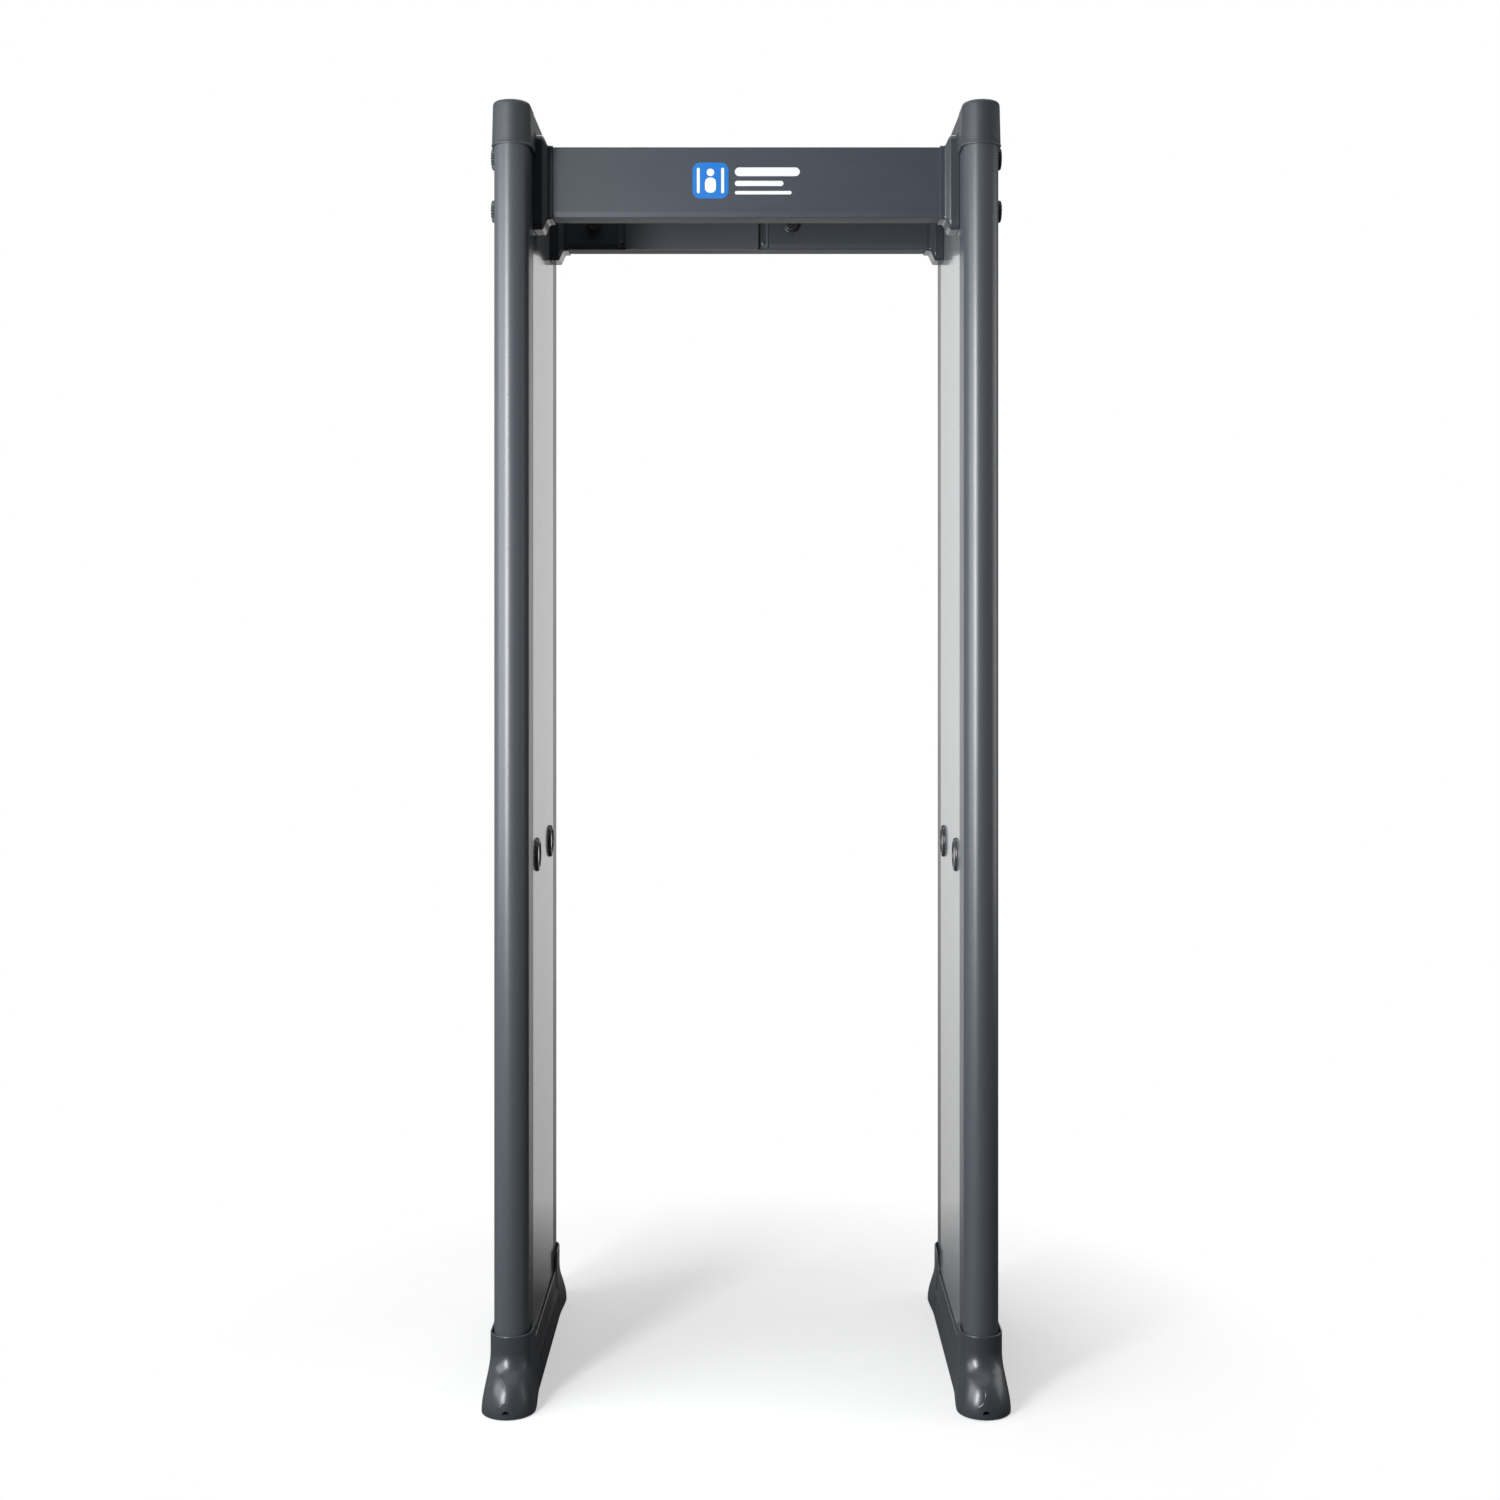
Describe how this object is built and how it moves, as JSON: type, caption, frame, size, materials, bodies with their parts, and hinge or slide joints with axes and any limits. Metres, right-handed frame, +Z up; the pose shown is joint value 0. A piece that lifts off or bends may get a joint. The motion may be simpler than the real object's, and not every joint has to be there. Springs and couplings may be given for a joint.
{
  "type": "security gate",
  "caption": "Walk-through metal detector gate: flat side panels on flared feet, joined by front and rear header beams clamped with hand knobs; control unit in the rear beam.",
  "frame": {"origin": "on the floor, at the middle of the gate's footprint", "axes": "+Z up; people walk through along Y, -Y is the front; X runs from the left panel to the right"},
  "size_m": [0.885, 0.64, 2.2],
  "materials": {
    "post_profile": "satin",
    "panel_laminate": "satin",
    "core_foam": "matte",
    "coil_copper": "satin",
    "moulding": "satin",
    "pad_rubber": "matte",
    "bezel_plastic": "satin",
    "lens_plastic": "satin",
    "inner_plastic": "matte",
    "beam_paint": "satin",
    "bracket_plastic": "satin",
    "brass": "satin",
    "knob_plastic": "satin",
    "unit_plastic": "satin",
    "cover_paint": "satin",
    "screw_steel": "satin",
    "display_glass": "gloss",
    "board": "satin",
    "supply_case": "satin",
    "lock_steel": "satin",
    "key_rubber": "matte"
  },
  "bodies": {
    "root": {"base_pads": "pad_rubber", "cable_sockets": "knob_plastic", "control_board": "board", "control_fascia": "unit_plastic", "control_housing": "unit_plastic", "cover_screws": "screw_steel", "display_window": "display_glass", "front_beam": "beam_paint", "left_base_shoe": "moulding", "left_front_anchor_cover": "moulding", "left_front_bracket": "bracket_plastic", "left_front_post": "post_profile", "left_front_sensor_bezel": "bezel_plastic", "left_front_sensor_lens": "lens_plastic", "left_inner_skin": "panel_laminate", "left_outer_skin": "panel_laminate", "left_panel_core": "core_foam", "left_rear_anchor_cover": "moulding", "left_rear_bracket": "bracket_plastic", "left_rear_post": "post_profile", "left_rear_sensor_bezel": "bezel_plastic", "left_rear_sensor_lens": "lens_plastic", "left_top_cap": "moulding", "mains_inlet": "inner_plastic", "power_supply": "supply_case", "rear_beam": "beam_paint", "receiver_coil": "coil_copper", "right_base_shoe": "moulding", "right_front_anchor_cover": "moulding", "right_front_bracket": "bracket_plastic", "right_front_post": "post_profile", "right_front_sensor_bezel": "bezel_plastic", "right_front_sensor_lens": "lens_plastic", "right_inner_skin": "panel_laminate", "right_outer_skin": "panel_laminate", "right_panel_core": "core_foam", "right_rear_anchor_cover": "moulding", "right_rear_bracket": "bracket_plastic", "right_rear_post": "post_profile", "right_rear_sensor_bezel": "bezel_plastic", "right_rear_sensor_lens": "lens_plastic", "right_top_cap": "moulding", "sensor_modules": "inner_plastic", "service_cover": "cover_paint", "threaded_inserts": "brass", "transmitter_coil": "coil_copper"},
    "control_key_1": {"control_key_1": "key_rubber"},
    "control_key_2": {"control_key_2": "key_rubber"},
    "control_key_3": {"control_key_3": "key_rubber"},
    "control_key_4": {"control_key_4": "key_rubber"},
    "left_front_lower_knob": {"left_front_lower_knob": "knob_plastic"},
    "left_front_upper_knob": {"left_front_upper_knob": "knob_plastic"},
    "left_rear_lower_knob": {"left_rear_lower_knob": "knob_plastic"},
    "left_rear_upper_knob": {"left_rear_upper_knob": "knob_plastic"},
    "lock_rotor": {"lock_rotor": "lock_steel"},
    "right_front_lower_knob": {"right_front_lower_knob": "knob_plastic"},
    "right_front_upper_knob": {"right_front_upper_knob": "knob_plastic"},
    "right_rear_lower_knob": {"right_rear_lower_knob": "knob_plastic"},
    "right_rear_upper_knob": {"right_rear_upper_knob": "knob_plastic"}
  },
  "joints": [
    {"name": "control_key_1_press", "type": "slide", "parent": "root", "child": "control_key_1", "axis": [0, -1, 0], "range_m": [0, 0.0015], "stiffness_N_per_m": 300, "springref_m": -0.001},
    {"name": "control_key_2_press", "type": "slide", "parent": "root", "child": "control_key_2", "axis": [0, -1, 0], "range_m": [0, 0.0015], "stiffness_N_per_m": 300, "springref_m": -0.001},
    {"name": "control_key_3_press", "type": "slide", "parent": "root", "child": "control_key_3", "axis": [0, -1, 0], "range_m": [0, 0.0015], "stiffness_N_per_m": 300, "springref_m": -0.001},
    {"name": "control_key_4_press", "type": "slide", "parent": "root", "child": "control_key_4", "axis": [0, -1, 0], "range_m": [0, 0.0015], "stiffness_N_per_m": 300, "springref_m": -0.001},
    {"name": "left_front_lower_knob_turn", "type": "hinge", "parent": "root", "child": "left_front_lower_knob", "pos_m": [-0.43, -0.144, 2.0325], "axis": [1, 0, 0], "continuous": true},
    {"name": "left_front_upper_knob_turn", "type": "hinge", "parent": "root", "child": "left_front_upper_knob", "pos_m": [-0.43, -0.144, 2.1235], "axis": [1, 0, 0], "continuous": true},
    {"name": "left_rear_lower_knob_turn", "type": "hinge", "parent": "root", "child": "left_rear_lower_knob", "pos_m": [-0.43, 0.144, 2.0325], "axis": [1, 0, 0], "continuous": true},
    {"name": "left_rear_upper_knob_turn", "type": "hinge", "parent": "root", "child": "left_rear_upper_knob", "pos_m": [-0.43, 0.144, 2.1235], "axis": [1, 0, 0], "continuous": true},
    {"name": "lock_turn", "type": "hinge", "parent": "root", "child": "lock_rotor", "pos_m": [-0.01, 0.172, 2.078], "axis": [0, 1, 0], "range_deg": [0, 90]},
    {"name": "right_front_lower_knob_turn", "type": "hinge", "parent": "root", "child": "right_front_lower_knob", "pos_m": [0.43, -0.144, 2.0325], "axis": [1, 0, 0], "continuous": true},
    {"name": "right_front_upper_knob_turn", "type": "hinge", "parent": "root", "child": "right_front_upper_knob", "pos_m": [0.43, -0.144, 2.1235], "axis": [1, 0, 0], "continuous": true},
    {"name": "right_rear_lower_knob_turn", "type": "hinge", "parent": "root", "child": "right_rear_lower_knob", "pos_m": [0.43, 0.144, 2.0325], "axis": [1, 0, 0], "continuous": true},
    {"name": "right_rear_upper_knob_turn", "type": "hinge", "parent": "root", "child": "right_rear_upper_knob", "pos_m": [0.43, 0.144, 2.1235], "axis": [1, 0, 0], "continuous": true}
  ]
}
